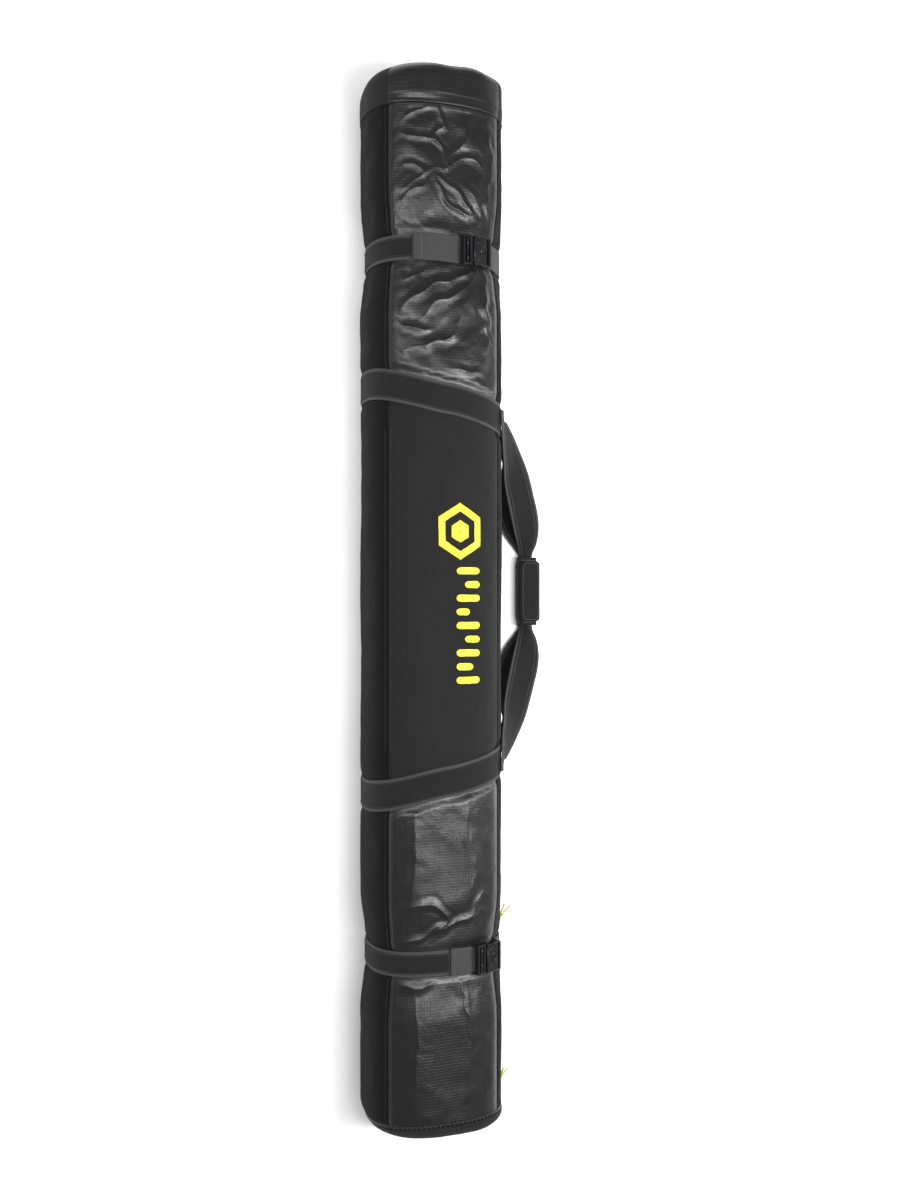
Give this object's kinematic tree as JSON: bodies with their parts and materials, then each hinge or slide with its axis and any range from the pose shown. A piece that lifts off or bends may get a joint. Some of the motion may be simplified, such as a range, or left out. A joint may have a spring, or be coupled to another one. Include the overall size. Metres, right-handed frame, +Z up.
{
  "type": "ski bag",
  "caption": "long padded ski bag lying on its back, with a side zip, a hinged base flap, two buckled compression straps and a bowed carry handle with a wrap-round grip",
  "frame": {"origin": "on the floor under the middle of the bag, on the flat underside of the back panel", "axes": "+Y runs along the bag to its top end, +X to the zip and handle side, +Z up out of the front panel"},
  "size_m": [0.371, 1.888, 0.2057],
  "materials": {
    "tarpaulin": "semi-gloss coated ripstop",
    "polyester": "matt plain weave",
    "webbing": "matt ribbed webbing",
    "facing": "matt plain weave",
    "plastic": "satin moulded acetal",
    "zip": "woven tape and coil",
    "metal": "black lacquered zinc",
    "cord": "braided yellow-green cord"
  },
  "bodies": {
    "bag": {"back_handle_lower_root": "webbing", "back_handle_upper_root": "webbing", "back_panel_lower": "tarpaulin", "back_panel_middle": "polyester", "back_panel_upper": "tarpaulin", "base_zip_chain": "zip", "bottom_gusset": "polyester", "front_handle_lower_root": "webbing", "front_handle_upper_root": "webbing", "front_panel_lower": "tarpaulin", "front_panel_middle": "polyester", "front_panel_upper": "tarpaulin", "lower_buckle_female": "plastic", "lower_carry_band": "webbing", "lower_carry_band_facing": "facing", "lower_strap_band": "webbing", "lower_strap_facing": "facing", "lower_strap_stub": "webbing", "seam_binding_back": "facing", "seam_binding_back_zip": "facing", "seam_binding_front": "facing", "seam_binding_front_zip": "facing", "top_end_panel": "polyester", "upper_buckle_female": "plastic", "upper_carry_band": "webbing", "upper_carry_band_facing": "facing", "upper_strap_band": "webbing", "upper_strap_facing": "facing", "upper_strap_stub": "webbing", "zip_chain": "zip", "zip_gusset_back": "polyester", "zip_gusset_front": "polyester", "zip_tape_back": "zip", "zip_tape_front": "zip"},
    "base_flap": {"base_flap_panel": "tarpaulin"},
    "carry_handle": {"back_handle_loop_lower": "webbing", "back_handle_loop_upper": "webbing", "front_handle_loop_lower": "webbing", "front_handle_loop_upper": "webbing", "grip_wrap": "polyester"},
    "grip_flap": {"grip_flap": "polyester"},
    "main_zip_slider": {"main_zip_slider": "metal"},
    "main_zip_pull": {"main_zip_pull": "metal", "main_zip_cord": "cord"},
    "base_zip_slider": {"base_zip_slider": "metal"},
    "base_zip_pull": {"base_zip_pull": "metal", "base_zip_cord": "cord"},
    "upper_buckle_male": {"upper_buckle_male": "plastic", "upper_strap_tail": "webbing"},
    "upper_prong_top": {"upper_prong_top": "plastic"},
    "upper_prong_base": {"upper_prong_base": "plastic"},
    "lower_buckle_male": {"lower_buckle_male": "plastic", "lower_strap_tail": "webbing"},
    "lower_prong_top": {"lower_prong_top": "plastic"},
    "lower_prong_base": {"lower_prong_base": "plastic"}
  },
  "joints": [
    {"name": "base_flap_hinge", "type": "hinge", "parent": "bag", "child": "base_flap", "pos_m": [0, -0.941, 0.002], "axis": [1, 0, 0], "range_deg": [0, 88]},
    {"name": "carry_handle_swing", "type": "hinge", "parent": "bag", "child": "carry_handle", "pos_m": [0.138, 0.018, 0.112], "axis": [0, -1, 0], "range_deg": [0, 110]},
    {"name": "grip_flap_open", "type": "hinge", "parent": "carry_handle", "child": "grip_flap", "pos_m": [0.205, 0.018, 0.0326], "axis": [0, -1, 0], "range_deg": [0, 150]},
    {"name": "upper_buckle_slide", "type": "slide", "parent": "bag", "child": "upper_buckle_male", "axis": [-0.975, 0, 0.2224], "range_m": [0, 0.035]},
    {"name": "upper_prong_top_squeeze", "type": "hinge", "parent": "upper_buckle_male", "child": "upper_prong_top", "pos_m": [0.0424, 0.632, 0.197], "axis": [-0.2224, 0, -0.975], "range_deg": [0, 7], "stiffness_Nm_per_rad": 0.15},
    {"name": "upper_prong_base_squeeze", "type": "hinge", "parent": "upper_buckle_male", "child": "upper_prong_base", "pos_m": [0.0424, 0.6, 0.197], "axis": [0.2224, 0, 0.975], "range_deg": [0, 7], "stiffness_Nm_per_rad": 0.15},
    {"name": "lower_buckle_slide", "type": "slide", "parent": "bag", "child": "lower_buckle_male", "axis": [-0.9001, 0, 0.4356], "range_m": [0, 0.035]},
    {"name": "lower_prong_top_squeeze", "type": "hinge", "parent": "lower_buckle_male", "child": "lower_prong_top", "pos_m": [0.06911, -0.619, 0.18987], "axis": [-0.4356, 0, -0.9001], "range_deg": [0, 7], "stiffness_Nm_per_rad": 0.15},
    {"name": "lower_prong_base_squeeze", "type": "hinge", "parent": "lower_buckle_male", "child": "lower_prong_base", "pos_m": [0.06911, -0.651, 0.18987], "axis": [0.4356, 0, 0.9001], "range_deg": [0, 7], "stiffness_Nm_per_rad": 0.15},
    {"name": "main_zip_slide", "type": "slide", "parent": "bag", "child": "main_zip_slider", "axis": [0, 1, 0], "range_m": [0, 1.16], "deforming": ["main_zip_cord"]},
    {"name": "main_zip_pull_flip", "type": "hinge", "parent": "main_zip_slider", "child": "main_zip_pull", "pos_m": [0.1349, -0.5985, 0.096], "axis": [0, 0, -1], "range_deg": [0, 130]},
    {"name": "base_zip_slide", "type": "slide", "parent": "bag", "child": "base_zip_slider", "axis": [0, 1, 0], "range_m": [0, 0.2], "deforming": ["base_zip_cord"]},
    {"name": "base_zip_pull_flip", "type": "hinge", "parent": "base_zip_slider", "child": "base_zip_pull", "pos_m": [0.1349, -0.9005, 0.096], "axis": [0, 0, -1], "range_deg": [0, 130]}
  ],
  "couplings": [
    {"joint": "upper_prong_base_squeeze", "follows": "upper_prong_top_squeeze", "ratio": 1},
    {"joint": "lower_prong_base_squeeze", "follows": "lower_prong_top_squeeze", "ratio": 1}
  ]
}
